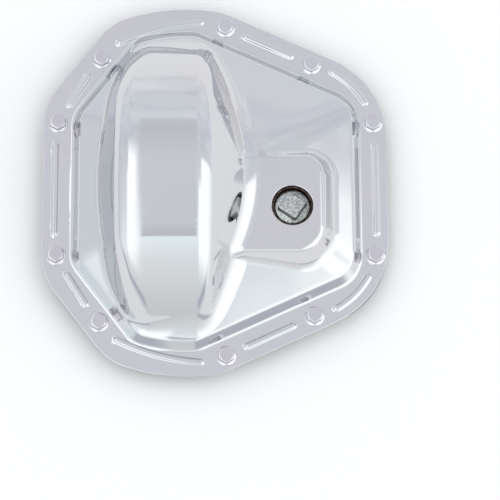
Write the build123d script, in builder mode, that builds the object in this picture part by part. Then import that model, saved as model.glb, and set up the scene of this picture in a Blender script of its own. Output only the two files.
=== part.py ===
from build123d import *
from math import atan, cos, degrees, radians, sin, sqrt, tan
import os

# Rear axle differential cover: a pressed sheet steel shell with its gasket, its ten flange bolts and
# its fill plug. Millimetres. The gasket's lower face, which lies on the axle housing, is z = 0, and
# the cover bulges towards +Z. X runs along the axle, and the outline is the same on both sides of
# the XZ plane.

# Sheet and seal
sheet_thickness = 2.0
gasket_thickness = 1.2

# Outer edge of the flange: straight left and right sides, two slanted sides, and an arc at each end
arc_centre_x = -23.0
left_slant_angle = 53.0
right_slant_angle = 24.8
flange_left = 146.0
flange_right = 148.0
flange_left_slant = 162.3
flange_right_slant = 150.0
flange_arc_radius = 164.7
flange_corner_radii = (57.0, 63.0, 70.0, 72.0)
flange_edge_radius = 0.6

# Foot of the rim wall, where the shell leaves the flange, inwards by the width of the flange
flange_left_width = 25.7
flange_right_width = 23.4
flange_left_slant_width = 26.3
flange_right_slant_width = 25.8
flange_arc_width = 21.3
rim_corner_radii = (26.0, 22.0, 24.0, 29.0)
rim_foot_radius = 3.0

# Rim wall and the sloping roof above it, as a section: how far in and how high each one goes
rim_wall_run = 7.0
rim_wall_rise = 8.0
rim_edge_radius = 3.5
roof_run = 72.0
roof_arc_run = 81.0
roof_rise = 23.5
roof_top_radii = (20.0, 12.0, 12.0, 30.0)

# Ridge over the ring gear: a profile turned about the axle line
axle_depth = 67.0
ridge_end_setback = 11.43
ridge_left = -80.0
ridge_right = -5.0
ridge_crown_camber = 1.5
ridge_left_flank_angle = 74.5
ridge_right_flank_angle = 54.5
ridge_left_edge_radius = 16.0
ridge_right_edge_radius = 13.0
ridge_corner_setback = 1.0
ridge_corner_draft = 19.0
ridge_corner_radius = 14.0

# Flat pad round the fill plug
pad_left = 5.0
pad_right = 91.0
pad_bottom = -64.5
pad_top = 19.5
pad_height = 32.0
pad_draft = 30.0
pad_top_corner_radius = 15.0
pad_bottom_corner_radius = 22.0
pad_buried_corner_radius = 12.0
pad_edge_radius = 4.0

# Rounding of every valley where the ridge, the pad and the roof meet, on the outside
outer_valley_radius = 6.0

# Stiffening beads pressed into the flange between the bolts
bead_width = 6.6
bead_height = 1.7
bead_draft = 35.0
bead_edge_radius = 0.9
bead_bolt_gap = 16.5
side_bead_push = 1.6
left_slant_bead_push = 0.8
end_bead_push = 5.7
end_bead_bow = 8.6
corner_bead_push = 0.9
corner_bead_bow = 10.4

# Bolts: two on the end arcs, two on each kind of slanted side and four on the straight sides, each
# one inside the edge by its own margin
bolt_end_x = 9.9
bolt_end_margin = 13.86
bolt_right_slant_x = 84.2
bolt_right_slant_margin = 12.28
bolt_right_margin = 11.5
bolt_side_y = 59.4
bolt_left_slant_x = -96.9
bolt_left_slant_margin = 13.84
bolt_left_margin = 12.3

bolt_thread_diameter = 7.94
bolt_neck_diameter = 7.0
bolt_length = 19.05
bolt_thread_start = 0.4
bolt_tip_chamfer = 0.9
bolt_hole_clearance = 0.8
bolt_flange_diameter = 17.3
bolt_flange_thickness = 1.5
bolt_flange_edge = 0.8
bolt_hex_across_flats = 12.7
bolt_head_height = 6.0
bolt_hex_turn = 30.0
bolt_crown_diameter = 12.0
bolt_crown_angle = 30.0

# Gasket
gasket_inset = 1.0
gasket_inner_inset = 0.5
gasket_hole_diameter = 9.5
gasket_lobe_radius = 15.5
gasket_lobe_blend = 8.0

# Fill plug and the bung behind the pad
plug_x = 65.6
plug_y = -25.0
plug_window_diameter = 34.6
plug_window_edge_radius = 0.9
bung_wall = 4.5
bung_height = 17.0
bung_recess_depth = 5.5
bung_recess_clearance = 1.1
bung_edge = 0.8
plug_thread_diameter = 26.4
plug_thread_clearance = 0.1
plug_thread_length = 10.5
plug_thread_chamfer = 1.2
plug_shoulder_diameter = 29.2
plug_shoulder_thickness = 2.6
plug_shoulder_edge = 0.6
plug_head_across_flats = 18.0
plug_head_height = 6.2
plug_head_corner_radius = 1.6
plug_head_edge = 0.8
plug_head_turn = -34.5

rim_left = flange_left - flange_left_width
rim_right = flange_right - flange_right_width
rim_left_slant = flange_left_slant - flange_left_slant_width
rim_right_slant = flange_right_slant - flange_right_slant_width
rim_arc_radius = flange_arc_radius - flange_arc_width
ridge_radius = sqrt((rim_arc_radius - ridge_end_setback) ** 2 + axle_depth**2)

# How far a vertex or an edge may lie from the place where it is looked for
place_tolerance = 0.01

flange_bottom = gasket_thickness
flange_top = gasket_thickness + sheet_thickness
cavity_floor = -2 * sheet_thickness


def slant_normal(side):
    """Unit vector that points out across the slanted side, on the left (-1) or on the right (+1)"""
    if side < 0:
        return Vector(-sin(radians(left_slant_angle)), cos(radians(left_slant_angle)))
    return Vector(sin(radians(right_slant_angle)), cos(radians(right_slant_angle)))


def point_on_slant(x, slant, side):
    """Point at x on a line along a slanted side, at the distance slant from the origin"""
    normal = slant_normal(side)
    return Vector(x, (slant - normal.X * x) / normal.Y)


def corner_on_arc(arc_radius, slant, side):
    """Where a slanted side meets the arc at the end of the outline, on the arc's own half"""
    normal = slant_normal(side)
    centre = Vector(arc_centre_x, 0)
    distance = slant - normal.dot(centre)
    half_chord = sqrt(arc_radius**2 - distance**2)
    along = Vector(normal.Y, -normal.X) * -side
    return centre + normal * distance + along * half_chord


def outline(left, right, left_slant, right_slant, arc_radius, radii):
    """Face inside the outline at height 0, each of its corners rounded by its own radius"""
    side_left = point_on_slant(-left, left_slant, -1)
    arc_left = corner_on_arc(arc_radius, left_slant, -1)
    arc_right = corner_on_arc(arc_radius, right_slant, 1)
    side_right = point_on_slant(right, right_slant, 1)
    with BuildSketch() as face:
        with BuildLine():
            Line((-left, 0), side_left)
            Line(side_left, arc_left)
            ThreePointArc(arc_left, (arc_centre_x, arc_radius), arc_right)
            Line(arc_right, side_right)
            Line(side_right, (right, 0))
            mirror(about=Plane.XZ)
        make_face()
        for corner, radius in zip((side_left, arc_left, arc_right, side_right), radii):
            for half in (1, -1):
                place = (corner.X, half * corner.Y, 0)
                fillet(face.vertices().sort_by_distance(place)[0], radius)
    return face.sketch


def flange_outline(inset):
    """Outline of the flange's edge, or of a line inside it"""
    return outline(
        flange_left - inset,
        flange_right - inset,
        flange_left_slant - inset,
        flange_right_slant - inset,
        flange_arc_radius - inset,
        [radius - inset for radius in flange_corner_radii],
    )


def rim_outline(inset, radii=None, arc_inset=None):
    """Outline of the shell at a distance inside the foot of the rim wall"""
    return outline(
        rim_left - inset,
        rim_right - inset,
        rim_left_slant - inset,
        rim_right_slant - inset,
        rim_arc_radius - (inset if arc_inset is None else arc_inset),
        radii or [radius - inset for radius in rim_corner_radii],
    )


def pan_section(depth, floor):
    """Rim wall and roof as (inset, height) points, moved into the metal by the given depth"""
    wall_angle = atan(rim_wall_rise / rim_wall_run)
    roof_angle = atan(roof_rise / roof_run)
    mean_angle = (wall_angle + roof_angle) / 2
    mitre = depth / cos((wall_angle - roof_angle) / 2)
    edge_inset = rim_wall_run + mitre * sin(mean_angle)
    edge_height = rim_wall_rise - mitre * cos(mean_angle)
    foot_inset = edge_inset - (edge_height - floor) / tan(wall_angle)
    top_height = rim_wall_rise + roof_rise - depth
    top_inset = edge_inset + (top_height - edge_height) / tan(roof_angle)
    return (foot_inset, floor), (edge_inset, edge_height), (top_inset, top_height)


def pan(depth, floor):
    """Rim wall and roof, solid, without the ridge and the pad"""
    foot, edge, top = pan_section(depth, floor)
    arc_inset = top[0] + roof_arc_run - roof_run
    with BuildPart() as body:
        with BuildSketch(Plane.XY.offset(flange_top + foot[1])):
            add(rim_outline(foot[0]))
        with BuildSketch(Plane.XY.offset(flange_top + edge[1])):
            add(rim_outline(edge[0]))
        with BuildSketch(Plane.XY.offset(flange_top + top[1])):
            add(rim_outline(top[0], roof_top_radii, arc_inset))
        loft(ruled=True)
        lowest = flange_top + edge[1] - place_tolerance
        highest = flange_top + edge[1] + place_tolerance
        fillet(body.edges().filter_by_position(Axis.Z, lowest, highest), rim_edge_radius - depth)
    return body.part


def ridge(depth, floor):
    """Ring gear ridge: its profile turned about the axle line, cut off at the two left corners"""
    left_angle = radians(ridge_left_flank_angle)
    right_angle = radians(ridge_right_flank_angle)
    crown = ridge_radius - axle_depth - depth
    shoulder = crown - ridge_crown_camber
    left = ridge_left + depth * tan(left_angle / 2)
    right = ridge_right - depth * tan(right_angle / 2)
    left_foot = left - (shoulder - floor) / tan(left_angle)
    right_foot = right + (shoulder - floor) / tan(right_angle)
    axle_line = Axis((0, 0, flange_top - axle_depth), (1, 0, 0))
    corner_slant = rim_left_slant - rim_wall_run - ridge_corner_setback
    draft = radians(ridge_corner_draft)
    span = 2 * ridge_radius
    with BuildPart() as body:
        with BuildSketch(Plane((0, 0, flange_top), x_dir=(1, 0, 0), z_dir=(0, -1, 0))) as profile:
            with BuildLine():
                ThreePointArc((left, shoulder), ((left + right) / 2, crown), (right, shoulder))
                Polyline((right, shoulder), (right_foot, floor), (left_foot, floor), (left, shoulder))
            make_face()
            left_corner = profile.vertices().sort_by_distance((left, shoulder, 0))[0]
            fillet(left_corner, ridge_left_edge_radius - depth)
            right_corner = profile.vertices().sort_by_distance((right, shoulder, 0))[0]
            fillet(right_corner, ridge_right_edge_radius - depth)
        revolve(axis=axle_line, revolution_arc=360)
        with Locations((0, 0, flange_top + floor)):
            Box(span, span, span, align=(Align.CENTER, Align.CENTER, Align.MIN), mode=Mode.INTERSECT)
        for half in (1, -1):
            level = slant_normal(-1)
            outward = Vector(level.X * cos(draft), half * level.Y * cos(draft), sin(draft))
            foot = Vector(level.X, half * level.Y, 0) * corner_slant
            start = foot + Vector(0, 0, flange_top + rim_wall_rise) - outward * depth
            split(bisect_by=Plane(start, z_dir=outward), keep=Keep.BOTTOM)
            cut_face = body.faces().sort_by(lambda face: face.normal_at().dot(outward))[-1]
            crown_edges = cut_face.edges().filter_by(GeomType.BSPLINE)
            fillet(crown_edges, ridge_corner_radius - depth)
    return body.part


def pad_outline(growth):
    """Outline of the pad's flat top, grown outwards"""
    with BuildSketch() as face:
        with Locations(((pad_left + pad_right) / 2, (pad_bottom + pad_top) / 2)):
            Rectangle(pad_right - pad_left, pad_top - pad_bottom)
        fillet(face.vertices().group_by(Axis.X)[0], pad_buried_corner_radius)
        for corner_y, radius in ((pad_bottom, pad_bottom_corner_radius), (pad_top, pad_top_corner_radius)):
            fillet(face.vertices().sort_by_distance((pad_right, corner_y, 0))[0], radius)
        if growth:
            offset(amount=growth)
    return face.sketch


def pad(depth, floor):
    """Flat raised pad for the fill plug, with slanted walls, solid"""
    slope = tan(radians(pad_draft))
    top_growth = depth * slope - depth / cos(radians(pad_draft))
    rise = pad_height - depth - floor
    with BuildPart() as body:
        with BuildSketch(Plane.XY.offset(flange_top + floor)):
            add(pad_outline(top_growth + rise * slope))
        with BuildSketch(Plane.XY.offset(flange_top + floor + rise)):
            add(pad_outline(top_growth))
        loft(ruled=True)
        fillet(body.faces().sort_by(Axis.Z)[-1].edges(), pad_edge_radius - depth)
    return body.part


def dome(depth, floor, valley_radius=0.0):
    """Whole bulge of the cover, solid: rim wall, roof, ridge and pad, and the valleys between them"""
    forms = (pan(depth, floor), ridge(depth, floor), pad(depth, floor))
    with BuildPart() as body:
        for form in forms:
            add(form)
        if valley_radius:
            fillet(new_edges(*forms, combined=body.part), valley_radius)
    return body.part


def bead_path(start_bolt, end_bolt, push, bow):
    """Middle line of a bead between two bolts: pushed outwards, and bowed where it follows a corner"""
    chord = end_bolt - start_bolt
    out = Vector(-chord.Y, chord.X).normalized()
    first = start_bolt + out * push
    last = end_bolt + out * push
    if bow:
        whole = ThreePointArc(first, (first + last) * 0.5 + out * bow, last, mode=Mode.PRIVATE)
    else:
        whole = Line(first, last, mode=Mode.PRIVATE)
    share = (bead_bolt_gap + bead_width / 2) / whole.length
    ends = (whole @ share, whole @ (1 - share))
    if bow:
        return ThreePointArc(ends[0], whole @ 0.5, ends[1], mode=Mode.PRIVATE)
    return Line(*ends, mode=Mode.PRIVATE)


bolt_end_y = sqrt((flange_arc_radius - bolt_end_margin) ** 2 - (bolt_end_x - arc_centre_x) ** 2)
bolt_upper_half = [
    Vector(bolt_left_margin - flange_left, bolt_side_y),
    point_on_slant(bolt_left_slant_x, flange_left_slant - bolt_left_slant_margin, -1),
    Vector(bolt_end_x, bolt_end_y),
    point_on_slant(bolt_right_slant_x, flange_right_slant - bolt_right_slant_margin, 1),
    Vector(flange_right - bolt_right_margin, bolt_side_y),
]
bolt_lower_half = [Vector(bolt.X, -bolt.Y) for bolt in reversed(bolt_upper_half)]
bolt_places = bolt_upper_half + bolt_lower_half

bead_shapes = [
    (left_slant_bead_push, 0.0),
    (end_bead_push, end_bead_bow),
    (0.0, 0.0),
    (corner_bead_push, corner_bead_bow),
    (side_bead_push, 0.0),
    (corner_bead_push, corner_bead_bow),
    (0.0, 0.0),
    (end_bead_push, end_bead_bow),
    (left_slant_bead_push, 0.0),
    (side_bead_push, 0.0),
]
bead_paths = []
for number, (push, bow) in enumerate(bead_shapes):
    next_bolt = bolt_places[(number + 1) % len(bolt_places)]
    bead_paths.append(bead_path(bolt_places[number], next_bolt, push, bow))

# Pressed shell: flange and dome, hollow from below
with BuildPart() as flange:
    with BuildSketch(Plane.XY.offset(flange_bottom)):
        add(flange_outline(0))
    extrude(amount=sheet_thickness)
    fillet(flange.edges().filter_by_position(Axis.Z, flange_bottom, flange_top), flange_edge_radius)

with BuildPart() as beads:
    for path in bead_paths:
        with BuildSketch(Plane.XY.offset(flange_top)):
            SlotArc(path, bead_width)
        extrude(amount=bead_height, taper=bead_draft)
    fillet(beads.faces().group_by(Axis.Z)[-1].edges(), bead_edge_radius)

groove_width = bead_width - 2 * sheet_thickness * tan(radians((90 - bead_draft) / 2))
with BuildPart() as grooves:
    for path in bead_paths:
        with BuildSketch(Plane.XY.offset(flange_bottom)):
            SlotArc(path, groove_width)
        extrude(amount=bead_height, taper=bead_draft)

pad_surface = flange_top + pad_height
with BuildPart() as cover_shell:
    add(flange.part)
    add(dome(0, 0.0, outer_valley_radius))
    flange_face = cover_shell.faces().filter_by(Plane.XY).filter_by_position(Axis.Z, flange_top, flange_top)[0]
    fillet(flange_face.inner_wires()[0].edges(), rim_foot_radius)
    add(dome(sheet_thickness, cavity_floor), mode=Mode.SUBTRACT)
    seal_face = cover_shell.faces().sort_by(Axis.Z)[0]
    fillet(seal_face.inner_wires()[0].edges(), rim_foot_radius + sheet_thickness)
    add(beads.part)
    add(grooves.part, mode=Mode.SUBTRACT)
    with Locations([(place.X, place.Y, flange_bottom) for place in bolt_places]):
        Hole((bolt_thread_diameter + bolt_hole_clearance) / 2)
    with Locations((plug_x, plug_y, pad_surface)):
        Hole(plug_window_diameter / 2, 2 * sheet_thickness)
    pad_edges = cover_shell.edges().filter_by_position(Axis.Z, pad_surface, pad_surface)
    window_edge = pad_edges.filter_by(GeomType.CIRCLE).sort_by(Edge.length)[-1]
    fillet(window_edge, plug_window_edge_radius)

# Gasket: open over the cavity, with a lobe round each end bolt and each left corner bolt
lobe_bolts = [bolt for bolt in bolt_places if abs(bolt.Y) > bolt_side_y and bolt.X < bolt_right_slant_x]
with BuildSketch() as gasket_opening:
    add(rim_outline(gasket_inner_inset))
    with Locations(*lobe_bolts):
        Circle(gasket_lobe_radius, mode=Mode.SUBTRACT)
    lobe_corners = []
    for corner in gasket_opening.vertices():
        misses = [abs((Vector(corner) - bolt).length - gasket_lobe_radius) for bolt in lobe_bolts]
        if min(misses) < place_tolerance:
            lobe_corners.append(corner)
    fillet(lobe_corners, gasket_lobe_blend)

with BuildPart() as gasket:
    with BuildSketch():
        add(flange_outline(gasket_inset))
        add(gasket_opening.sketch, mode=Mode.SUBTRACT)
        with Locations(*bolt_places):
            Circle(gasket_hole_diameter / 2, mode=Mode.SUBTRACT)
    extrude(amount=gasket_thickness)

# Bung behind the pad: a ring with a recess for the plug's shoulder and a bore for its thread
bung_top = pad_surface - sheet_thickness
shoulder_floor = bung_top - bung_recess_depth
recess_radius = plug_shoulder_diameter / 2 + bung_recess_clearance
with BuildPart(Plane((plug_x, plug_y, bung_top))) as plug_bung:
    Cylinder(recess_radius + bung_wall, bung_height, align=(Align.CENTER, Align.CENTER, Align.MAX))
    Cylinder(
        recess_radius,
        bung_recess_depth,
        align=(Align.CENTER, Align.CENTER, Align.MAX),
        mode=Mode.SUBTRACT,
    )
    Cylinder(
        plug_thread_diameter / 2 + plug_thread_clearance,
        bung_height,
        align=(Align.CENTER, Align.CENTER, Align.MAX),
        mode=Mode.SUBTRACT,
    )
    chamfer(plug_bung.faces().sort_by(Axis.Z)[0].edges(), bung_edge)

# Fill plug: thread, shoulder on the floor of the recess, and a square head
with BuildPart(Plane((plug_x, plug_y, shoulder_floor))) as fill_plug:
    Cylinder(
        plug_thread_diameter / 2,
        plug_thread_length,
        align=(Align.CENTER, Align.CENTER, Align.MAX),
    )
    chamfer(fill_plug.faces().sort_by(Axis.Z)[0].edges(), plug_thread_chamfer)
    Cylinder(
        plug_shoulder_diameter / 2,
        plug_shoulder_thickness,
        align=(Align.CENTER, Align.CENTER, Align.MIN),
    )
    fillet(fill_plug.faces().sort_by(Axis.Z)[-1].edges(), plug_shoulder_edge)
    with BuildSketch(Plane((plug_x, plug_y, shoulder_floor + plug_shoulder_thickness))):
        RectangleRounded(
            plug_head_across_flats,
            plug_head_across_flats,
            plug_head_corner_radius,
            rotation=plug_head_turn,
        )
    extrude(amount=plug_head_height)
    fillet(fill_plug.faces().sort_by(Axis.Z)[-1].edges(), plug_head_edge)

# One flange bolt, its seat at height 0: tip, thread, neck, conical flange and hexagon
thread_radius = bolt_thread_diameter / 2
neck_radius = bolt_neck_diameter / 2
washer_radius = bolt_flange_diameter / 2
hex_corner_radius = bolt_hex_across_flats / sqrt(3)
thread_top = -bolt_thread_start - flange_top
crown_growth = bolt_head_height / tan(radians(bolt_crown_angle))
with BuildPart() as bolt_head:
    with BuildSketch():
        RegularPolygon(bolt_hex_across_flats / 2, 6, major_radius=False, rotation=bolt_hex_turn)
    extrude(amount=bolt_head_height)
    Cone(
        bolt_crown_diameter / 2 + crown_growth,
        bolt_crown_diameter / 2,
        bolt_head_height,
        align=(Align.CENTER, Align.CENTER, Align.MIN),
        mode=Mode.INTERSECT,
    )

with BuildPart() as bolt:
    with BuildSketch(Plane.XZ):
        with BuildLine():
            Polyline(
                (0, -bolt_length),
                (thread_radius - bolt_tip_chamfer, -bolt_length),
                (thread_radius, bolt_tip_chamfer - bolt_length),
                (thread_radius, thread_top),
                (neck_radius, thread_top),
                (neck_radius, 0),
                (washer_radius, 0),
                (washer_radius, bolt_flange_edge),
                (hex_corner_radius, bolt_flange_thickness),
                (0, bolt_flange_thickness),
                close=True,
            )
        make_face()
    revolve(axis=Axis.Z)
    add(bolt_head.part)

cover_shell.part.label = "cover_shell"
gasket.part.label = "gasket"
plug_bung.part.label = "plug_bung"
fill_plug.part.label = "fill_plug"

os.makedirs("parts", exist_ok=True)
export_step(cover_shell.part, "parts/cover_shell.step")
export_step(gasket.part, "parts/gasket.step")
export_step(plug_bung.part, "parts/plug_bung.step")
export_step(fill_plug.part, "parts/fill_plug.step")

for number, place in enumerate(bolt_places, start=1):
    with BuildPart() as cover_bolt:
        with Locations((place.X, place.Y, flange_top)):
            add(bolt.part)
    cover_bolt.part.label = f"cover_bolt_{number:02d}"
    export_step(cover_bolt.part, f"parts/cover_bolt_{number:02d}.step")
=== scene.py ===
"""Differential cover: the chromed pressed shell with its gasket, bolts and fill plug, seen from where the
photograph was taken. The shapes are worked out with numpy in millimetres, in the part's own frame, and
stored in metres."""
import bmesh
import bpy
import numpy as np
from mathutils import Matrix, Vector


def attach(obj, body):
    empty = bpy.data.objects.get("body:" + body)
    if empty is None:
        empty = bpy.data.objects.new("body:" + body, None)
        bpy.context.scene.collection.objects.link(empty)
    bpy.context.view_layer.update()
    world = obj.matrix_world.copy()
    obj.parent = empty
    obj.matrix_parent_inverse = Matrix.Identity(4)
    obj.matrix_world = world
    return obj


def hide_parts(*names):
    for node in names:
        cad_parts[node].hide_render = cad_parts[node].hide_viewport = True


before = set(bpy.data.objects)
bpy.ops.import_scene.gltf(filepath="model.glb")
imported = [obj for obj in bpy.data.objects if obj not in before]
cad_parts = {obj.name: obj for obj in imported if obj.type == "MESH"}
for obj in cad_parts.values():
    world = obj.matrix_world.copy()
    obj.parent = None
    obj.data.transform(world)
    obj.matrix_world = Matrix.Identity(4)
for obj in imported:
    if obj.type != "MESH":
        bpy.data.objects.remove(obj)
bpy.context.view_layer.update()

# Sizes of the shell in millimetres; heights are counted from the flange's upper face
FLANGE_TOP = 3.2
SHEET = 2.0
# radius of the round on the flange's edge
FLANGE_EDGE = 0.6

# Outlines: how far out the left side, the right side, the left slants, the right slants and the end arcs
# lie, and the radius of each corner between them, from left to right
ARC_CENTRE_X = -23.0
LEFT_SLANT = np.radians(53.0)
RIGHT_SLANT = np.radians(24.8)
FLANGE_REACH = (146.0, 148.0, 162.3, 150.0, 164.64)
FLANGE_CORNERS = (57.0, 63.0, 70.0, 72.0)
RIM_REACH = (120.3, 124.6, 136.0, 124.2, 143.4)
RIM_CORNERS = (26.0, 22.0, 24.0, 29.0)
ROOF_TOP_CORNERS = (20.0, 12.0, 12.0, 30.0)
SMALLEST_CORNER = 1.0
# distance outside the rim up to which its corners keep growing
OUTER_REACH = 40.0

# Rim wall and roof
WALL_RUN = 7.0
WALL_RISE = 8.0
ROOF_RUN = 72.0
ROOF_RISE = 23.5
ROOF_BULGE = 1.1
RIM_FOOT_ROUND = 1.5
RIM_TOP_ROUND = 0.6
ROOF_TOP_ROUND = 0.3

# Ridge over the ring gear, turned about the axle's line
AXLE_DEPTH = 67.0
RIDGE_RADIUS = 147.94
RIDGE_LEFT = -80.0
RIDGE_RIGHT = -6.0
RIDGE_CAMBER = 1.5
LEFT_FLANK = np.radians(74.5)
RIGHT_FLANK = np.radians(52.5)
LEFT_EDGE_ROUND = 10.5
RIGHT_EDGE_ROUND = 6.2
CORNER_DRAFT = np.radians(19.0)
CORNER_INSET = 1.0
CORNER_ROUND = 9.0
# the valley at the ridge's foot is wider on the right: it grows from one x to the other
VALLEY_ROUND = 4.0
VALLEY_GROWTH = 4.0
VALLEY_GROWS_FROM = -60.0
VALLEY_GROWS_OVER = 50.0

# Pad and window of the fill plug
PAD_LEFT, PAD_RIGHT, PAD_BOTTOM, PAD_TOP = 5.0, 91.0, -64.5, 19.5
PAD_LEFT_CORNERS = 12.0
PAD_LOWER_CORNER = 22.0
PAD_UPPER_CORNER = 15.0
PAD_HEIGHT = 32.0
PAD_DRAFT = np.radians(30.0)
PAD_FOOT_ROUND = 3.4
PAD_TOP_ROUND = 2.6
PLUG = (65.6, -25.0)
# the window's radius, and that of the round on its edge
WINDOW_RADIUS = 17.3
WINDOW_EDGE = 0.9
# height of the slant between the window's cut face and the underside
WINDOW_SLANT = 0.1

# Bolts of the upper half, from left to right, and the beads that are pressed between them
BOLTS = ((-133.7, 59.4), (-96.9, 118.1), (9.9, 147.2), (84.2, 112.8), (136.5, 59.4))
# how far each bead between two bolts is pushed outwards, and how far it is bowed
BEADS = ((0.8, 0.0), (5.7, 8.6), (0.0, 0.0), (0.9, 10.4))
SIDE_BEAD_PUSH = 1.6
# plain flange between a bolt and a bead's end, and the half width of that end
BEAD_GAP = 16.5
BEAD_HALF = 3.3
# distances from a bead's middle line at which its height begins to fall and at which it has run out
BEAD_FLAT = 1.0
BEAD_SPREAD = 3.4
BEAD_HEIGHT = 1.4


def smooth_run(share):
    """Runs from 0 to 1 as share does, level at both ends."""
    return share * share * (3 - 2 * share)


def soft_min(a, b, radius, turn):
    """The smaller of two distances; where they are close, a parabola rounds the corner to the given
    radius, and turn is the angle between the two sides."""
    reach = np.maximum(2 * radius * np.sin(turn / 2) ** 2 / np.cos(turn / 2), 1e-6)
    near = np.maximum(reach - np.abs(a - b), 0) / reach
    return np.minimum(a, b) - near * near * reach / 4


def round_max(a, b, radius):
    """Both of two solids: the larger distance, with a round of the given size where they meet."""
    past_a, past_b = np.maximum(a + radius, 0), np.maximum(b + radius, 0)
    return np.minimum(np.maximum(a, b), -radius) + np.hypot(past_a, past_b)


def round_min(a, b, radius):
    """Either of two solids: the smaller distance, with a round valley where they meet."""
    return -round_max(-a, -b, radius)


def inside_outline(x, y, reach, corners, top_corners=None):
    """Distance inwards from an outline: the least of the distances to its sides, its slants and its end
    arcs. Its corners are round, and their radius shrinks with the distance, or on the roof runs to
    the radius at its top."""
    left, right, left_slant, right_slant, arc = reach
    y = np.abs(y)
    left_turn = np.arccos((left_slant + ARC_CENTRE_X * np.sin(LEFT_SLANT)) / arc)
    right_turn = np.arccos((right_slant - ARC_CENTRE_X * np.sin(RIGHT_SLANT)) / arc)
    spoke = np.clip(np.arctan2(x - ARC_CENTRE_X, y), left_turn - LEFT_SLANT, RIGHT_SLANT - right_turn)
    sides = (
        left + x,
        left_slant + x * np.sin(LEFT_SLANT) - y * np.cos(LEFT_SLANT),
        arc - (x - ARC_CENTRE_X) * np.sin(spoke) - y * np.cos(spoke),
        right_slant - x * np.sin(RIGHT_SLANT) - y * np.cos(RIGHT_SLANT),
        right - x,
    )
    turns = (np.pi / 2 - LEFT_SLANT, left_turn, right_turn, np.pi / 2 - RIGHT_SLANT)
    depth = sides[0]
    for number, turn in enumerate(turns):
        foot = corners[number]
        least = soft_min(depth, sides[number + 1], foot, turn)
        if top_corners is None:
            radius = np.maximum(foot - least, SMALLEST_CORNER)
        else:
            depths = (-OUTER_REACH, WALL_RUN, WALL_RUN + ROOF_RUN)
            radius = np.interp(least, depths, (foot + OUTER_REACH, foot - WALL_RUN, top_corners[number]))
        depth = soft_min(depth, sides[number + 1], radius, turn)
    return depth


def rim_depth(x, y):
    """Distance inwards from the rim's foot."""
    return inside_outline(x, y, RIM_REACH, RIM_CORNERS, ROOF_TOP_CORNERS)


def flange_depth(x, y):
    """Distance inwards from the flange's edge."""
    return inside_outline(x, y, FLANGE_REACH, FLANGE_CORNERS)


def bead_distance(x, y):
    """Distance to the nearest bead's middle line: a straight or an arc between two bolts, which stops
    short of both, the lower half mirrored from the upper one."""
    y = np.abs(y)
    nearest = np.full(np.shape(x), np.inf)
    for number, (push, bow) in enumerate(BEADS):
        start, end = np.array(BOLTS[number]), np.array(BOLTS[number + 1])
        along = (end - start) / np.linalg.norm(end - start)
        out = np.array((-along[1], along[0]))
        middle = (start + end) / 2 + out * push
        half = np.linalg.norm(end - start) / 2
        u = (x - middle[0]) * along[0] + (y - middle[1]) * along[1]
        w = (x - middle[0]) * out[0] + (y - middle[1]) * out[1]
        if bow:
            radius = (half**2 + bow**2) / (2 * bow)
            reach = np.arcsin(half / radius) - (BEAD_GAP + BEAD_HALF) / radius
            centre = bow - radius
            angle = np.clip(np.arctan2(u, w - centre), -reach, reach)
            distance = np.hypot(u - radius * np.sin(angle), w - centre - radius * np.cos(angle))
        else:
            reach = half - BEAD_GAP - BEAD_HALF
            distance = np.hypot(np.maximum(np.abs(u) - reach, 0), w)
        nearest = np.minimum(nearest, distance)
    side_reach = BOLTS[0][1] - BEAD_GAP - BEAD_HALF
    for side_x in (BOLTS[0][0] - SIDE_BEAD_PUSH, BOLTS[-1][0] + SIDE_BEAD_PUSH):
        nearest = np.minimum(nearest, np.hypot(np.maximum(y - side_reach, 0), x - side_x))
    return nearest


def pad_distance(x, y):
    """Distance outwards from the pad's top outline: a rectangle with a radius for each corner."""
    u = x - (PAD_LEFT + PAD_RIGHT) / 2
    w = y - (PAD_BOTTOM + PAD_TOP) / 2
    corner = np.where(u < 0, PAD_LEFT_CORNERS, np.where(w < 0, PAD_LOWER_CORNER, PAD_UPPER_CORNER))
    u = np.abs(u) - (PAD_RIGHT - PAD_LEFT) / 2 + corner
    w = np.abs(w) - (PAD_TOP - PAD_BOTTOM) / 2 + corner
    return np.minimum(np.maximum(u, w), 0) + np.hypot(np.maximum(u, 0), np.maximum(w, 0)) - corner


def plan_fields(x, y):
    """The three distances of a point that don't depend on its height."""
    return rim_depth(x, y), pad_distance(x, y), bead_distance(x, y)


def ridge_distance(x, y, z):
    """Distance from the ridge: a slightly crowned band turned about the axle's line, cut by a slanting
    flank on each side and by the drafted left corners of the rim."""
    turned = np.hypot(y, z + AXLE_DEPTH)
    middle, half = (RIDGE_LEFT + RIDGE_RIGHT) / 2, (RIDGE_RIGHT - RIDGE_LEFT) / 2
    crown = turned - RIDGE_RADIUS + RIDGE_CAMBER * ((x - middle) / half) ** 2
    shoulder = turned - RIDGE_RADIUS + RIDGE_CAMBER
    left = (RIDGE_LEFT - x) * np.sin(LEFT_FLANK) + shoulder * np.cos(LEFT_FLANK)
    right = (x - RIDGE_RIGHT) * np.sin(RIGHT_FLANK) + shoulder * np.cos(RIGHT_FLANK)
    ridge = round_max(round_max(crown, left, LEFT_EDGE_ROUND), right, RIGHT_EDGE_ROUND)
    corner = np.abs(y) * np.cos(LEFT_SLANT) - x * np.sin(LEFT_SLANT)
    corner = corner - (RIM_REACH[2] - WALL_RUN - CORNER_INSET)
    corner = corner * np.cos(CORNER_DRAFT) + (z - WALL_RISE) * np.sin(CORNER_DRAFT)
    return round_max(ridge, corner, CORNER_ROUND)


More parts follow.
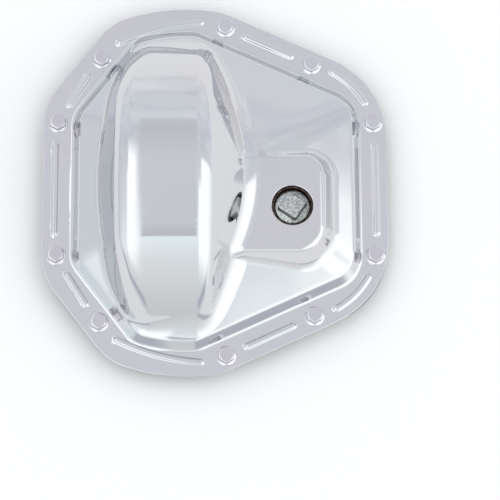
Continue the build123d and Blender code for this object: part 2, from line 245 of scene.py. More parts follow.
def skin_distance(x, y, z, fields=None):
    """Distance from the shell's upper skin, negative inside the metal and below it: the flange with its
    beads, the rim wall and the bulged roof, the pad and the ridge, joined with round valleys."""
    depth, from_pad, from_bead = fields if fields is not None else plan_fields(x, y)
    wall = np.arctan2(WALL_RISE, WALL_RUN)
    roof = np.arctan2(ROOF_RISE, ROOF_RUN)
    rim = z * np.cos(wall) - depth * np.sin(wall)
    slope = (z - WALL_RISE) * np.cos(roof) - (depth - WALL_RUN) * np.sin(roof)
    slope = slope - ROOF_BULGE * np.sin(np.pi * np.clip((depth - WALL_RUN) / ROOF_RUN, 0, 1))
    pan = round_max(round_max(rim, slope, RIM_TOP_ROUND), z - WALL_RISE - ROOF_RISE, ROOF_TOP_ROUND)
    wall_of_pad = from_pad * np.cos(PAD_DRAFT) + (z - PAD_HEIGHT) * np.sin(PAD_DRAFT)
    pan = round_max(z - PAD_HEIGHT, round_min(pan, wall_of_pad, PAD_FOOT_ROUND), PAD_TOP_ROUND)
    to_right = np.clip((x - VALLEY_GROWS_FROM) / VALLEY_GROWS_OVER, 0, 1)
    dome = round_min(pan, ridge_distance(x, y, z), VALLEY_ROUND + VALLEY_GROWTH * smooth_run(to_right))
    falling = np.clip((from_bead - BEAD_FLAT) / (BEAD_SPREAD - BEAD_FLAT), 0, 1)
    bead = BEAD_HEIGHT * (1 - smooth_run(falling))
    return round_min(z - bead, dome, RIM_FOOT_ROUND)


# heights between which the skin is looked for
LOWEST, HIGHEST = -4.0, 86.0


def skin_height(x, y, level, steps=34):
    """Height where the skin distance equals level, found by halving the range again and again."""
    fields = plan_fields(x, y)
    low = np.full(np.shape(x), LOWEST)
    high = np.full(np.shape(x), HIGHEST)
    for _ in range(steps):
        middle = (low + high) / 2
        inside = skin_distance(x, y, middle, fields) < level
        low = np.where(inside, middle, low)
        high = np.where(inside, high, middle)
    return (low + high) / 2


def skin_normal(x, y, z, step=0.02):
    """Unit normal of the skin: the slope of the skin distance, from points a small step apart."""
    dx = skin_distance(x + step, y, z) - skin_distance(x - step, y, z)
    dy = skin_distance(x, y + step, z) - skin_distance(x, y - step, z)
    dz = skin_distance(x, y, z + step) - skin_distance(x, y, z - step)
    normal = np.stack((dx, dy, dz), axis=-1)
    return normal / np.linalg.norm(normal, axis=-1, keepdims=True)


# The skin's grid: columns round the cover, and rows over the flange, over the rim wall, and on to the
# plug's window
COLUMNS = 560
TOP_ROWS = (36, 15, 61)
UNDER_ROWS = (12, 8, 28)
# points of each zone at which the skin is measured to spread its rows
ROW_SAMPLES = (150, 60, 260)
# width of the band inside the rim's foot where the rows follow the rim
RIM_BAND = 10.0
# a column costs as much over this length of a corner's radius as over a straight
CORNER_WEIGHT = 34
# a row is spent on this length, or on this bend
ROW_LENGTH = 6.0
ROW_BEND = np.radians(8.0)
# rows are blurred over this many columns
BLUR_REACH = 24
BLUR_WIDTH = 8.0
# points all round at which the rim is measured, radii between which it is looked for, and a first guess
# of the flange's width outside it
RIM_SAMPLES = 6001
RIM_WITHIN, RIM_BEYOND = 60.0, 190.0
FLANGE_WIDTH = 24.0


def slope_in_plan(distance, x, y, step=0.01):
    """Unit vector in the XY plane along which a distance over the plan grows."""
    gx = distance(x + step, y) - distance(x - step, y)
    gy = distance(x, y + step) - distance(x, y - step)
    length = np.hypot(gx, gy)
    return gx / length, gy / length


def rim_loop(angle, steps=40):
    """Points of the rim's foot at these angles about the origin, by halving the range of radii."""
    near, far = np.full(angle.shape, RIM_WITHIN), np.full(angle.shape, RIM_BEYOND)
    for _ in range(steps):
        middle = (near + far) / 2
        inside = rim_depth(middle * np.cos(angle), middle * np.sin(angle)) > 0
        near, far = np.where(inside, middle, near), np.where(inside, far, middle)
    return near * np.cos(angle), near * np.sin(angle)


def column_lines(steps=30):
    """Foot points of the rim, one for each column of the skin, closer together round the corners; the
    outward direction there; and how far along it the flange's edge lies."""
    dense = np.linspace(0, 2 * np.pi, RIM_SAMPLES)
    x, y = rim_loop(dense)
    nx, ny = slope_in_plan(rim_depth, x, y)
    turning = np.abs(np.diff(np.unwrap(np.arctan2(ny, nx))))
    effort = np.hypot(np.diff(x), np.diff(y)) + CORNER_WEIGHT * turning
    effort = np.concatenate(([0], np.cumsum(effort)))
    angle = np.interp(np.arange(COLUMNS) / COLUMNS * effort[-1], effort, dense)
    x, y = rim_loop(angle)
    nx, ny = slope_in_plan(rim_depth, x, y)
    nx, ny = -nx, -ny
    reach = np.full(x.shape, FLANGE_WIDTH)
    for _ in range(steps):
        reach = reach + flange_depth(x + nx * reach, y + ny * reach)
    return x, y, nx, ny, reach


def walk(share, lines):
    """Plan position at a share from 0 to 3 of each column: 0 to 1 over the flange, 1 to 2 over the rim
    wall, and 2 to 3 straight on to the plug's window."""
    x, y, nx, ny, reach = (line[:, None] for line in lines)
    over = (1 - np.clip(share, 0, 1)) * (reach - FLANGE_EDGE) - np.clip(share - 1, 0, 1) * RIM_BAND
    px, py = x + nx * over, y + ny * over
    knee_x, knee_y = x - nx * RIM_BAND, y - ny * RIM_BAND
    away = np.hypot(knee_x - PLUG[0], knee_y - PLUG[1])
    mouth = WINDOW_RADIUS + WINDOW_EDGE
    mouth_x = PLUG[0] + (knee_x - PLUG[0]) / away * mouth
    mouth_y = PLUG[1] + (knee_y - PLUG[1]) / away * mouth
    inner = np.clip(share - 2, 0, 1)
    return px + (mouth_x - knee_x) * inner, py + (mouth_y - knee_y) * inner


def spread_rows(rows, level, lines):
    """Shares at which the rows of the skin cross each column, zone by zone: more rows where the skin is
    steep or bends, blurred from column to column so that the rows run smoothly."""
    offsets = np.arange(-BLUR_REACH, BLUR_REACH + 1)
    blur = np.exp(-((offsets / BLUR_WIDTH) ** 2))
    blur /= blur.sum()
    # every column has a lane of its own, so that one call interpolates all of them
    lane = 2.0 * np.arange(COLUMNS)[:, None]
    shares = []
    for zone, (count, samples) in enumerate(zip(rows, ROW_SAMPLES)):
        share = np.broadcast_to(np.linspace(zone, zone + 1, samples), (COLUMNS, samples))
        x, y = walk(share, lines)
        z = skin_height(x, y, level, steps=18)
        run = np.hypot(np.diff(x, axis=1), np.diff(y, axis=1))
        rise = np.diff(z, axis=1)
        bend = np.abs(np.diff(np.arctan2(rise, run), axis=1)) / ROW_BEND
        effort = np.hypot(run, rise) / ROW_LENGTH
        effort[:, 1:] += bend / 2
        effort[:, :-1] += bend / 2
        total = np.concatenate((np.zeros((COLUMNS, 1)), np.cumsum(effort, axis=1)), axis=1)
        total /= total[:, -1:]
        total = sum(weight * np.roll(total, int(shift), axis=0) for shift, weight in zip(offsets, blur))
        is_last = zone == len(rows) - 1
        wanted = np.broadcast_to(np.linspace(0, 1, count, endpoint=is_last), (COLUMNS, count)) + lane
        share = np.interp(wanted.ravel(), (total + lane).ravel(), share.ravel()).reshape(COLUMNS, count)
        shares.append(share)
    return np.concatenate(shares, axis=1)


def skin_rows(rows, level, lines):
    """Points and normals of the skin at one level, row by row towards the plug's window."""
    x, y = walk(spread_rows(rows, level, lines), lines)
    z = skin_height(x, y, level)
    return np.stack((x, y, z), axis=-1), skin_normal(x, y, z)


def with_height(plan, height):
    """Adds one height for each row to points or normals that have only their plan part."""
    return np.concatenate((plan, np.broadcast_to(height[:, None], (*plan.shape[:2], 1))), axis=-1)


def window_rows(last_row):
    """Rows round the window's edge, on from the skin's last row: a quarter round, then the sheet's cut
    face down to its underside."""
    outward = last_row[:, :2] - np.array(PLUG)
    outward /= np.linalg.norm(outward, axis=1, keepdims=True)
    turn = np.radians((22.5, 45.0, 67.5, 90.0, 90.0))
    radius = WINDOW_RADIUS + WINDOW_EDGE * (1 - np.sin(turn))
    height = PAD_HEIGHT - WINDOW_EDGE * (1 - np.cos(turn))
    height[-1] = PAD_HEIGHT - SHEET + WINDOW_SLANT
    points = with_height(np.array(PLUG) + outward[:, None, :] * radius[:, None], height)
    return points, with_height(-outward[:, None, :] * np.sin(turn)[:, None], np.cos(turn))


def edge_rows(lines):
    """Rows round the flange's edge: two quarter rounds, from the underside up to the top."""
    x, y, nx, ny, reach = lines
    x, y = x + nx * reach, y + ny * reach
    inward_x, inward_y = slope_in_plan(flange_depth, x, y)
    outward = np.stack((-inward_x, -inward_y), axis=-1)[:, None, :]
    turn = np.radians((157.5, 135.0, 112.5, 90.0, 90.0, 67.5, 45.0, 22.5))
    over = FLANGE_EDGE * (np.sin(turn) - 1)
    centre = np.where(np.arange(turn.size) < turn.size // 2, FLANGE_EDGE - SHEET, -FLANGE_EDGE)
    plan = np.stack((x, y), axis=-1)[:, None, :] + outward * over[:, None]
    points = with_height(plan, centre + FLANGE_EDGE * np.cos(turn))
    return points, with_height(outward * np.sin(turn)[:, None], np.cos(turn))


def shell_grid():
    """Points and normals of the whole skin on one grid that closes both ways: over the flange, the rim
    and the dome to the plug's window, round its edge, back along the underside at the sheet's
    thickness, and round the flange's edge."""
    lines = column_lines()
    top, top_normal = skin_rows(TOP_ROWS, 0.0, lines)
    under, under_normal = skin_rows(UNDER_ROWS, -SHEET, lines)
    window, window_normal = window_rows(top[:, -1])
    edge, edge_normal = edge_rows(lines)
    points = np.concatenate((top, window, under[:, ::-1], edge), axis=1)
    normals = np.concatenate((top_normal, window_normal, -under_normal[:, ::-1], edge_normal), axis=1)
    return points + np.array((0, 0, FLANGE_TOP)), normals


def make_piece(name, points, faces, normals=None, crease=None):
    """A mesh object from whole arrays: points in millimetres, four-cornered faces, and either its own
    normals or sharp edges past an angle. Rows of points that fall together at a pole are merged."""
    mesh = bpy.data.meshes.new(name)
    mesh.vertices.add(len(points))
    mesh.vertices.foreach_set("co", (points / 1000).astype(np.float32).ravel())
    mesh.loops.add(faces.size)
    mesh.loops.foreach_set("vertex_index", faces.astype(np.int32).ravel())
    mesh.polygons.add(len(faces))
    mesh.polygons.foreach_set("loop_start", np.arange(0, faces.size, faces.shape[1], dtype=np.int32))
    mesh.update(calc_edges=True)
    if crease is not None:
        shape = bmesh.new()
        shape.from_mesh(mesh)
        bmesh.ops.remove_doubles(shape, verts=shape.verts, dist=1e-7)
        shape.to_mesh(mesh)
        shape.free()
    mesh.shade_smooth()
    if normals is not None:
        mesh.normals_split_custom_set_from_vertices(normals.astype(np.float32))
    if crease is not None:
        mesh.set_sharp_from_angle(angle=np.radians(crease))
    piece = bpy.data.objects.new(name, mesh)
    bpy.context.scene.collection.objects.link(piece)
    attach(piece, "root")
    return piece


def ring_faces(columns, rows, closed_rows):
    """Quads of a grid whose columns close round: corner numbers are column times rows plus row."""
    column = np.arange(columns)[:, None]
    row = np.arange(rows if closed_rows else rows - 1)[None, :]
    following = (column + 1) % columns
    above = (row + 1) % rows
    corners = (column * rows + row, following * rows + row, following * rows + above, column * rows + above)
    return np.stack([np.broadcast_to(c, (columns, row.size)) for c in corners], axis=-1).reshape(-1, 4)


# edges of the turned pieces that are sharper than this, in degrees, stay sharp
CREASE = 40.0


def turned_piece(name, outline, angle, place):
    """A closed piece about an upright axis: outline is a list of rows, from the middle of the underside
    to the middle of the top, and each row's radius and height may change with the angle."""
    radius = np.stack([np.broadcast_to(row[0], angle.shape) for row in outline], axis=1)
    height = np.stack([np.broadcast_to(row[1], angle.shape) for row in outline], axis=1)
    points = np.stack((radius * np.cos(angle)[:, None], radius * np.sin(angle)[:, None], height), axis=-1)
    points = points + np.array(place)
    faces = ring_faces(angle.size, len(outline), closed_rows=False)
    return make_piece(name, points.reshape(-1, 3), faces, crease=CREASE)


def side_reach(angle, flat, sides, sharpness):
    """Distance from the middle to the side of a nut shape with an even number of sides, in each
    direction: a power mean over its pairs of sides, which rounds the corners."""
    pairs = [np.abs(np.cos(angle - 2 * np.pi * pair / sides)) ** sharpness for pair in range(sides // 2)]
    return flat / sum(pairs) ** (1 / sharpness)


def thread_rows(angle, low, high, pitch, crest, depth, rows_a_turn=6):
    """Rows of a screw thread: the radius runs up and down once a pitch, the wave climbs once round, and
    it fades out at both ends."""
    heights = np.linspace(low, high, int((high - low) / pitch * rows_a_turn) + 1)
    rows = []
    for height in heights:
        wave = np.abs(2 * ((height / pitch - angle / (2 * np.pi)) % 1) - 1)
        fading = np.clip(min(height - low, high - height) / pitch, 0, 1)
        rows.append((crest - depth * fading * wave, height))
    return rows


# A bolt, its seat at height 0
BOLT_COLUMNS = 72
BOLT_TIP = -19.05
BOLT_PITCH = 1.41
BOLT_CREST = 3.95
BOLT_THREAD_DEPTH = 0.72
BOLT_NECK = 3.5
HEX_FLAT = 6.35
HEX_TOP = 6.0
HEX_CROWN = 6.0
HEX_CHAMFER = np.radians(30.0)

# The fill plug, heights counted from the gasket's lower face
PLUG_COLUMNS = 240
PLUG_BOTTOM = 17.2
PLUG_SEAT = 27.7
PLUG_SHOULDER = 30.3
PLUG_TOP = 36.5
PLUG_PITCH = 1.8
PLUG_CREST = 13.15
PLUG_THREAD_DEPTH = 1.0
PLUG_FLAT = 9.0
PLUG_TURN = np.radians(-34.5)
# direction in which the top's smooth half gives way to its rough half, and how deep that lies
ROUGH_WAY = np.radians(20.0)
ROUGH_SINK = 0.42
ROUGH_LUMPS = 0.28


def bolt_rows(angle):
    """Rows of one flange bolt: a chamfered tip, a thread, a neck, a rounded and coned washer, and a
    hexagon whose corners are cut down by a cone."""
    hexagon = side_reach(angle, HEX_FLAT, sides=6, sharpness=26)
    shoulder = HEX_TOP - (hexagon - HEX_CROWN) * np.tan(HEX_CHAMFER)
    rows = [(0.0, BOLT_TIP), (3.0, BOLT_TIP), (3.6, -18.5)]
    rows += thread_rows(angle, -18.3, -3.9, BOLT_PITCH, BOLT_CREST, BOLT_THREAD_DEPTH)
    rows += [(BOLT_NECK, -3.6), (BOLT_NECK, 0.0)]
    rows += [(8.3, 0.0), (8.58, 0.12), (8.65, 0.4), (8.6, 0.7), (8.4, 0.86)]
    rows += [(hexagon + 0.75, 1.38), (hexagon + 0.3, 1.52), (hexagon + 0.06, 1.78), (hexagon, 2.2)]
    rows += [(hexagon, shoulder - 0.35), (hexagon - 0.05, shoulder - 0.1), (hexagon - 0.25, shoulder + 0.1)]
    rows += [(HEX_CROWN, HEX_TOP - 0.08), (HEX_CROWN - 0.35, HEX_TOP - 0.01)]
    rows += [(HEX_CROWN - 0.8, HEX_TOP), (3.0, HEX_TOP), (0.0, HEX_TOP)]
    return rows


def plug_rows(angle):
    """Rows of the fill plug: a thread, a round shoulder, and a square head with rounded corners. Its top
    is smooth on the left half; past a wavy line it is sunk, and lumpy by two crossed waves, as cast."""
    square = side_reach(angle - PLUG_TURN, PLUG_FLAT, sides=4, sharpness=12)
    rows = [(0.0, PLUG_BOTTOM), (11.6, PLUG_BOTTOM), (12.6, PLUG_BOTTOM + 1.0)]
    rows += thread_rows(angle, PLUG_BOTTOM + 1.2, PLUG_SEAT - 0.2, PLUG_PITCH, PLUG_CREST, PLUG_THREAD_DEPTH)
    rows += [(13.1, PLUG_SEAT), (14.2, PLUG_SEAT), (14.55, PLUG_SEAT + 0.4), (14.58, PLUG_SHOULDER - 0.8)]
    rows += [(14.4, PLUG_SHOULDER - 0.3), (13.9, PLUG_SHOULDER - 0.02)]
    rows += [(square + 1.0, PLUG_SHOULDER), (square + 0.45, PLUG_SHOULDER + 0.15)]
    rows += [(square + 0.12, PLUG_SHOULDER + 0.5), (square, PLUG_SHOULDER + 1.1)]
    rows += [(square - 0.35, PLUG_TOP - 1.3), (square - 0.6, PLUG_TOP - 0.6)]
    for share in np.concatenate((np.linspace(0.92, 0.86, 3), np.linspace(0.8, 0.08, 16), (0.0,))):
        across = square * share * np.cos(angle - ROUGH_WAY)
        along = square * share * np.sin(angle - ROUGH_WAY)
        rough = 1 / (1 + np.exp(-(across + 1.0 + 0.6 * np.sin(along * 1.3)) / 0.35))
        lumps = np.sin(across * 2.3 + 1.1 * np.sin(along * 1.7))
        lumps = lumps * np.sin(along * 2.1 + 0.8 * np.sin(across * 1.9))
        round_over = 0.5 * np.clip((share - 0.8) / 0.12, 0, 1) ** 2
        sink = rough * (ROUGH_SINK + ROUGH_LUMPS * lumps)
        rows.append((square * share, PLUG_TOP - 0.05 - round_over - sink))
    return rows


class Wiring:
    """Nodes of one material or world, joined by short calls. A value is a number or a node's output."""

    def __init__(self, tree):
        self.tree = tree

    def node(self, kind, **settings):
        """A new node with its settings."""
        node = self.tree.nodes.new(kind)
        for setting, value in settings.items():
            setattr(node, setting, value)
        return node

    def feed(self, socket, value):
        """Joins an output to a socket, or sets the socket to a plain value."""
        if isinstance(value, bpy.types.NodeSocket):
            self.tree.links.new(value, socket)
        else:
            socket.default_value = value

    def calculate(self, operation, *values):
        """The result of one operation on numbers."""
        node = self.node("ShaderNodeMath", operation=operation)
        for socket, value in zip(node.inputs, values):
            self.feed(socket, value)
        return node.outputs[0]

    def product(self, *masks):
        """Masks multiplied together."""
        result = masks[0]
        for mask in masks[1:]:
            result = self.calculate("MULTIPLY", result, mask)
        return result

    def fade(self, value, start, end, low=0.0, high=1.0):
        """low at start and high at end, with a smooth run between them."""
        node = self.node("ShaderNodeMapRange", interpolation_type="SMOOTHSTEP")
        for name, number in (("From Min", start), ("From Max", end), ("To Min", low), ("To Max", high)):
            node.inputs[name].default_value = number
        self.feed(node.inputs["Value"], value)
        return node.outputs["Result"]

    def paint(self, under, colour, mask):
        """One colour over another where the mask is 1."""
        node = self.node("ShaderNodeMix", data_type="RGBA")
        self.feed(node.inputs[0], mask)
        self.feed(node.inputs[6], under)
        self.feed(node.inputs[7], colour)
        return node.outputs[2]

    def bands(self, value, stops):
        """Colours that run into each other along a value."""
        low, high = stops[0][0], stops[-1][0]
        node = self.node("ShaderNodeValToRGB")
        elements = node.color_ramp.elements
        while len(elements) < len(stops):
            elements.new(0.5)
        for element, (place, colour) in zip(elements, stops):
            element.position = (place - low) / (high - low)
            element.color = colour
        share = self.calculate("DIVIDE", self.calculate("SUBTRACT", value, low), high - low)
        self.feed(node.inputs[0], share)
        return node.outputs[0]

    def place(self):
        """Position in the object's own coordinates, in metres."""
        return self.node("ShaderNodeTexCoord").outputs["Object"]

    def split(self, vector):
        """The X, Y and Z outputs of a vector."""
        node = self.node("ShaderNodeSeparateXYZ")
        self.feed(node.inputs[0], vector)
        return node.outputs

    def noise(self, scale, detail=2.0, roughness=0.5, place=None):
        """Cloudy pattern with scale cells to a metre, or to a unit of the place it is given."""
        node = self.node("ShaderNodeTexNoise")
        node.inputs["Scale"].default_value = scale
        node.inputs["Detail"].default_value = detail
        node.inputs["Roughness"].default_value = roughness
        self.feed(node.inputs["Vector"], self.place() if place is None else place)
        return node.outputs["Fac"]

    def bump(self, height, distance, under=None):
        """Normal of a surface raised by up to distance, in metres, on top of another bump."""
        node = self.node("ShaderNodeBump")
        node.inputs["Strength"].default_value = 1.0
        node.inputs["Distance"].default_value = distance
        self.feed(node.inputs["Height"], height)
        if under is not None:
            self.feed(node.inputs["Normal"], under)
        return node.outputs["Normal"]


def new_material(name, metallic=0.0):
    """A material, the inputs of its shader, and its wiring."""
    material = bpy.data.materials.new(name)
    material.use_nodes = True
    inputs = material.node_tree.nodes["Principled BSDF"].inputs
    inputs["Metallic"].default_value = metallic
    return material, inputs, Wiring(material.node_tree)


# share of the light that polished chrome gives back
CHROME_REFLECTS = 0.68


def polished_chrome(name, waviness, bluer, pinker):
    """Chrome plate over polished steel: long soft waves, fine polishing grain, faint blue and pink."""
    material, inputs, wiring = new_material(name, metallic=1.0)
    tint = wiring.paint(bluer, pinker, wiring.fade(wiring.noise(14.0), 0.38, 0.62))
    wiring.feed(inputs["Base Color"], tint)
    haze = wiring.noise(60.0, 4.0, 0.6)
    wiring.feed(inputs["Roughness"], wiring.fade(haze, 0.35, 0.75, low=0.035, high=0.085))
    waves = wiring.bump(wiring.noise(17.0, 1.0), waviness)
    grain = wiring.bump(wiring.noise(900.0, 3.0, 0.6), 0.0000012, waves)
    wiring.feed(inputs["Normal"], grain)
    return material


def cast_plug():
    """Cast iron, worn bright: mottled grey, smooth on the left half and pitted on the right half."""
    material, inputs, wiring = new_material("cast plug", metallic=1.0)
    lumps = wiring.noise(620.0, 6.0, 0.65)
    tint = wiring.bands(lumps, (
        (0.3, (0.20, 0.20, 0.19, 1)), (0.48, (0.46, 0.47, 0.46, 1)),
        (0.62, (0.62, 0.63, 0.63, 1)), (0.75, (0.72, 0.72, 0.70, 1)),
    ))
    wiring.feed(inputs["Base Color"], tint)
    wiring.feed(inputs["Roughness"], wiring.fade(wiring.noise(260.0, 3.0), 0.3, 0.7, low=0.22, high=0.5))
    x = wiring.split(wiring.place())[0]
    rough_half = wiring.fade(x, (PLUG[0] - 2.5) / 1000, (PLUG[0] + 0.5) / 1000, low=0.12)
    wiring.feed(inputs["Normal"], wiring.bump(wiring.product(lumps, rough_half), 0.0011))
    return material


def bung_painted_shade():
    """Turned steel with fine rings about the plug. Its near-black to dark brown colour, in cloudy patches, is
    painted shade for the deep recess round the plug.
    """
    material, inputs, wiring = new_material("bung with painted shade", metallic=1.0)
    centred = wiring.node("ShaderNodeMapping")
    wiring.feed(centred.inputs["Vector"], wiring.place())
    centred.inputs["Location"].default_value = (-PLUG[0] / 1000, -PLUG[1] / 1000, 0)
    rings = wiring.node("ShaderNodeTexWave", wave_type="RINGS", rings_direction="Z")
    rings.inputs["Scale"].default_value = 420.0
    rings.inputs["Distortion"].default_value = 1.5
    rings.inputs["Detail"].default_value = 2.0
    wiring.feed(rings.inputs["Vector"], centred.outputs[0])
    cloudy_patches = wiring.noise(180.0, 4.0, 0.6)
    # painted shade: near black to dark brown, for the shadowed recess between the plug and the window's edge
    tint = wiring.paint((0.035, 0.026, 0.024, 1), (0.16, 0.12, 0.10, 1), wiring.fade(cloudy_patches, 0.42, 0.68))
    wiring.feed(inputs["Base Color"], tint)
    wiring.feed(inputs["Roughness"], wiring.fade(cloudy_patches, 0.3, 0.7, low=0.32, high=0.55))
    wiring.feed(inputs["Normal"], wiring.bump(rings.outputs["Fac"], 0.00004))
    return material


def gasket_fibre():
    """Matt blue-grey fibre: soft clouds, and pale flecks that stand up a little."""
    material, inputs, wiring = new_material("gasket fibre")
    flecks = wiring.noise(1400.0, 5.0, 0.7)
    clouds = wiring.fade(wiring.noise(40.0, 3.0), 0.35, 0.65)
    dark = wiring.paint((0.045, 0.055, 0.072, 1), (0.075, 0.086, 0.104, 1), clouds)
    tint = wiring.paint(dark, (0.16, 0.17, 0.19, 1), wiring.fade(flecks, 0.6, 0.78))
    wiring.feed(inputs["Base Color"], tint)
    inputs["Roughness"].default_value = 0.82
    wiring.feed(inputs["Normal"], wiring.bump(flecks, 0.00012))
    return material


def white_paper():
    """Matt pale paper with a faint grain of colour."""
    material, inputs, wiring = new_material("white paper")
    tint = wiring.paint((0.93, 0.91, 0.90, 1), (0.945, 0.925, 0.915, 1), wiring.noise(300.0, 3.0))
    wiring.feed(inputs["Base Color"], tint)
    inputs["Roughness"].default_value = 0.9
    return material


# The pieces
shell_chrome = polished_chrome(
    "polished chrome shell", waviness=0.00028, bluer=(0.667, 0.68, 0.688, 1), pinker=(0.688, 0.68, 0.688, 1)
)
bolt_chrome = polished_chrome(
    "polished chrome bolts", waviness=0.00005, bluer=(0.66, 0.66, 0.69, 1), pinker=(0.66, 0.63, 0.66, 1)
)

points, normals = shell_grid()
skin_faces = ring_faces(*points.shape[:2], closed_rows=True)
shell = make_piece("pressed_shell", points.reshape(-1, 3), skin_faces, normals.reshape(-1, 3))
shell.data.materials.append(shell_chrome)
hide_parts("cover_shell")

bolt_places = list(BOLTS) + [(x, -y) for x, y in reversed(BOLTS)]
round_bolt = np.arange(BOLT_COLUMNS) / BOLT_COLUMNS * 2 * np.pi
for number, (x, y) in enumerate(bolt_places, start=1):
    bolt = turned_piece(f"flange_bolt_{number:02d}", bolt_rows(round_bolt), round_bolt, (x, y, FLANGE_TOP))
    bolt.data.materials.append(bolt_chrome)
    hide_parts(f"cover_bolt_{number:02d}")

round_plug = np.arange(PLUG_COLUMNS) / PLUG_COLUMNS * 2 * np.pi
plug = turned_piece("square_plug", plug_rows(round_plug), round_plug, (*PLUG, 0.0))
plug.data.materials.append(cast_plug())
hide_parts("fill_plug")

# the bung's dark colour is painted shade for the recess round the plug
for name, finish in (("gasket", gasket_fibre()), ("plug_bung", bung_painted_shade())):
    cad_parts[name].data.materials.clear()
    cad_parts[name].data.materials.append(finish)

# Camera: where the photograph was taken from. The view is turned about Y, X and Z in that order; the
# viewpoint is in pixels of the photograph, and PIXEL is what one of them measures at the flange, in mm.
TILT_X, TURN_Y, ROLL_Z = -0.3, 0.0189127, 0.0059374
VIEWPOINT = (36.0316, -61.1445, 2589.7)
PIXEL = 0.852
PHOTO_WIDTH = 500
turn = Matrix.Rotation(ROLL_Z, 3, "Z") @ Matrix.Rotation(TILT_X, 3, "X") @ Matrix.Rotation(TURN_Y, 3, "Y")
camera_data = bpy.data.cameras.new("photo camera")
camera = bpy.data.objects.new("photo camera", camera_data)
bpy.context.scene.collection.objects.link(camera)
camera_data.sensor_width = 36
camera_data.lens = camera_data.sensor_width * VIEWPOINT[2] / PHOTO_WIDTH
camera_data.clip_start, camera_data.clip_end = 0.1, 50
place = turn.transposed() @ Vector(VIEWPOINT) * PIXEL + Vector((0, 0, FLANGE_TOP))
camera.matrix_world = Matrix.Translation(place / 1000) @ turn.transposed().to_4x4()
bpy.context.scene.camera = camera

# Floor: pale paper under the bolt tips, in metres
FLOOR_LEVEL = -0.01585
FLOOR_REACH = 3.0
floor_mesh = bpy.data.meshes.new("floor")
corner_signs = ((-1, -1), (1, -1), (1, 1), (-1, 1))
floor_corners = [(x * FLOOR_REACH, y * FLOOR_REACH, FLOOR_LEVEL) for x, y in corner_signs]
floor_mesh.from_pydata(floor_corners, [], [(0, 1, 2, 3)])
floor_mesh.materials.append(white_paper())
floor = bpy.data.objects.new("floor", floor_mesh)
bpy.context.scene.collection.objects.link(floor)

# Studio: the light that comes from each direction, drawn on a map of the sky. A direction's place on
# the map is its angle from straight up, in degrees, split along X and Y.
world = bpy.data.worlds.new("studio")
bpy.context.scene.world = world
world.use_nodes = True
background = world.node_tree.nodes["Background"]
studio = Wiring(world.node_tree)


def shown(red, green, blue):
    """Light that the polished chrome shows as this colour, written as a screen shows it."""
    colour = np.array((red, green, blue)) / 255
    light = np.where(colour < 0.04, colour / 12.92, ((colour + 0.055) / 1.055) ** 2.4)
    return (*(light / CHROME_REFLECTS), 1)


way_x, way_y, way_z = studio.split(studio.node("ShaderNodeTexCoord").outputs["Generated"])
from_top = studio.calculate("MULTIPLY", studio.calculate("ARCCOSINE", way_z), 180 / np.pi)
flat_part = studio.calculate("SQRT", studio.calculate("SUBTRACT", 1.0, studio.calculate("POWER", way_z, 2.0)))
stretch = studio.calculate("DIVIDE", from_top, studio.calculate("MAXIMUM", flat_part, 1e-4))
east = studio.calculate("MULTIPLY", way_x, stretch)
north = studio.calculate("MULTIPLY", way_y, stretch)
west = studio.calculate("MULTIPLY", east, -1.0)

# walls and ceiling, from the front of the room to its back
sky = studio.bands(north, (
    (-110, shown(186, 188, 189)), (-75, shown(201, 203, 205)), (-48, shown(214, 219, 221)),
    (-35, shown(225, 233, 236)), (-20, shown(218, 225, 228)), (-8, shown(209, 214, 218)),
    (20, shown(199, 202, 208)), (40, shown(193, 196, 203)), (50, shown(202, 205, 212)),
    (70, shown(203, 205, 210)), (90, shown(214, 214, 217)),
))
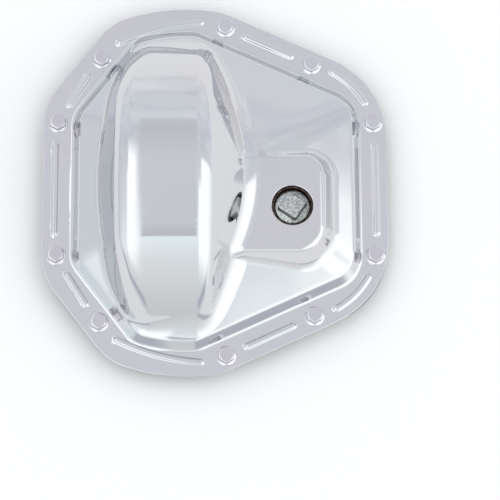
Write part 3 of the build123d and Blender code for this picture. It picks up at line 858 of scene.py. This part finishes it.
# faint streaks high up at the back, as on a painted wall with soft shadows
streak_place = studio.node("ShaderNodeCombineXYZ")
studio.feed(streak_place.inputs[0], studio.calculate("DIVIDE", east, 26))
studio.feed(streak_place.inputs[1], studio.calculate("DIVIDE", north, 9))
streaks = studio.noise(1.0, 4.0, 0.6, streak_place.outputs[0])
at_back = studio.fade(north, 14, 34)
dark_streaks = studio.product(studio.fade(streaks, 0.5, 0.72, high=0.45), at_back)
sky = studio.paint(sky, shown(172, 178, 187), dark_streaks)
pale_streaks = studio.product(studio.fade(streaks, 0.5, 0.28, high=0.30), at_back)
sky = studio.paint(sky, shown(232, 235, 236), pale_streaks)
# a grey wall on the left, a pale board on the right, and the grey edge of the table in front
left_wall = studio.product(studio.fade(west, 60, 100), studio.fade(north, 100, 60))
sky = studio.paint(sky, shown(187, 194, 201), left_wall)
right_board = studio.product(studio.fade(east, 60, 90), studio.fade(north, 60, 20))
sky = studio.paint(sky, shown(214, 220, 224), right_board)
to_the_side = studio.calculate("MAXIMUM", east, west)
table_edge = studio.product(
    studio.fade(from_top, 78, 81), studio.fade(from_top, 88, 86), studio.fade(north, -26, -44),
    studio.fade(to_the_side, 9, 22),
)
sky = studio.paint(sky, shown(171, 173, 183), table_edge)
# two soft boxes overhead, each of two parts
before_front = studio.fade(north, -66, -34)
near_left = studio.product(studio.fade(west, 5.5, 8), studio.fade(west, 30, 22), studio.fade(north, 38, 18))
far_left = studio.product(studio.fade(west, 5.5, 8), studio.fade(west, 42, 24), studio.fade(north, 20, 7))
left_box = studio.product(studio.calculate("MAXIMUM", near_left, far_left), before_front)
near_right = studio.product(studio.fade(east, 17.5, 23), studio.fade(north, 10, -4))
far_right = studio.product(studio.fade(east, 28, 39), studio.fade(north, 22.4, 18.6))
right_box = studio.product(
    studio.calculate("MAXIMUM", near_right, far_right), before_front, studio.fade(east, 100, 58)
)
sky = studio.paint(sky, shown(255, 259, 260), studio.calculate("MAXIMUM", left_box, right_box))
# the gap between them, where the camera stands
gap_light = studio.bands(north, (
    (-33, shown(180, 183, 187)), (-24, shown(196, 198, 203)), (12, shown(198, 200, 205)),
    (20, shown(198, 198, 205)), (40, shown(187, 188, 193)), (48, shown(190, 192, 198)),
))
gap = studio.product(
    studio.fade(east, -6.6, -5.4), studio.fade(east, 14, 8),
    studio.fade(north, -33.5, -32.5), studio.fade(north, 49, 47),
)
sky = studio.paint(sky, gap_light, gap)
studio.feed(background.inputs["Color"], sky)
background.inputs["Strength"].default_value = 1.0

bpy.context.scene.view_settings.view_transform = "Standard"
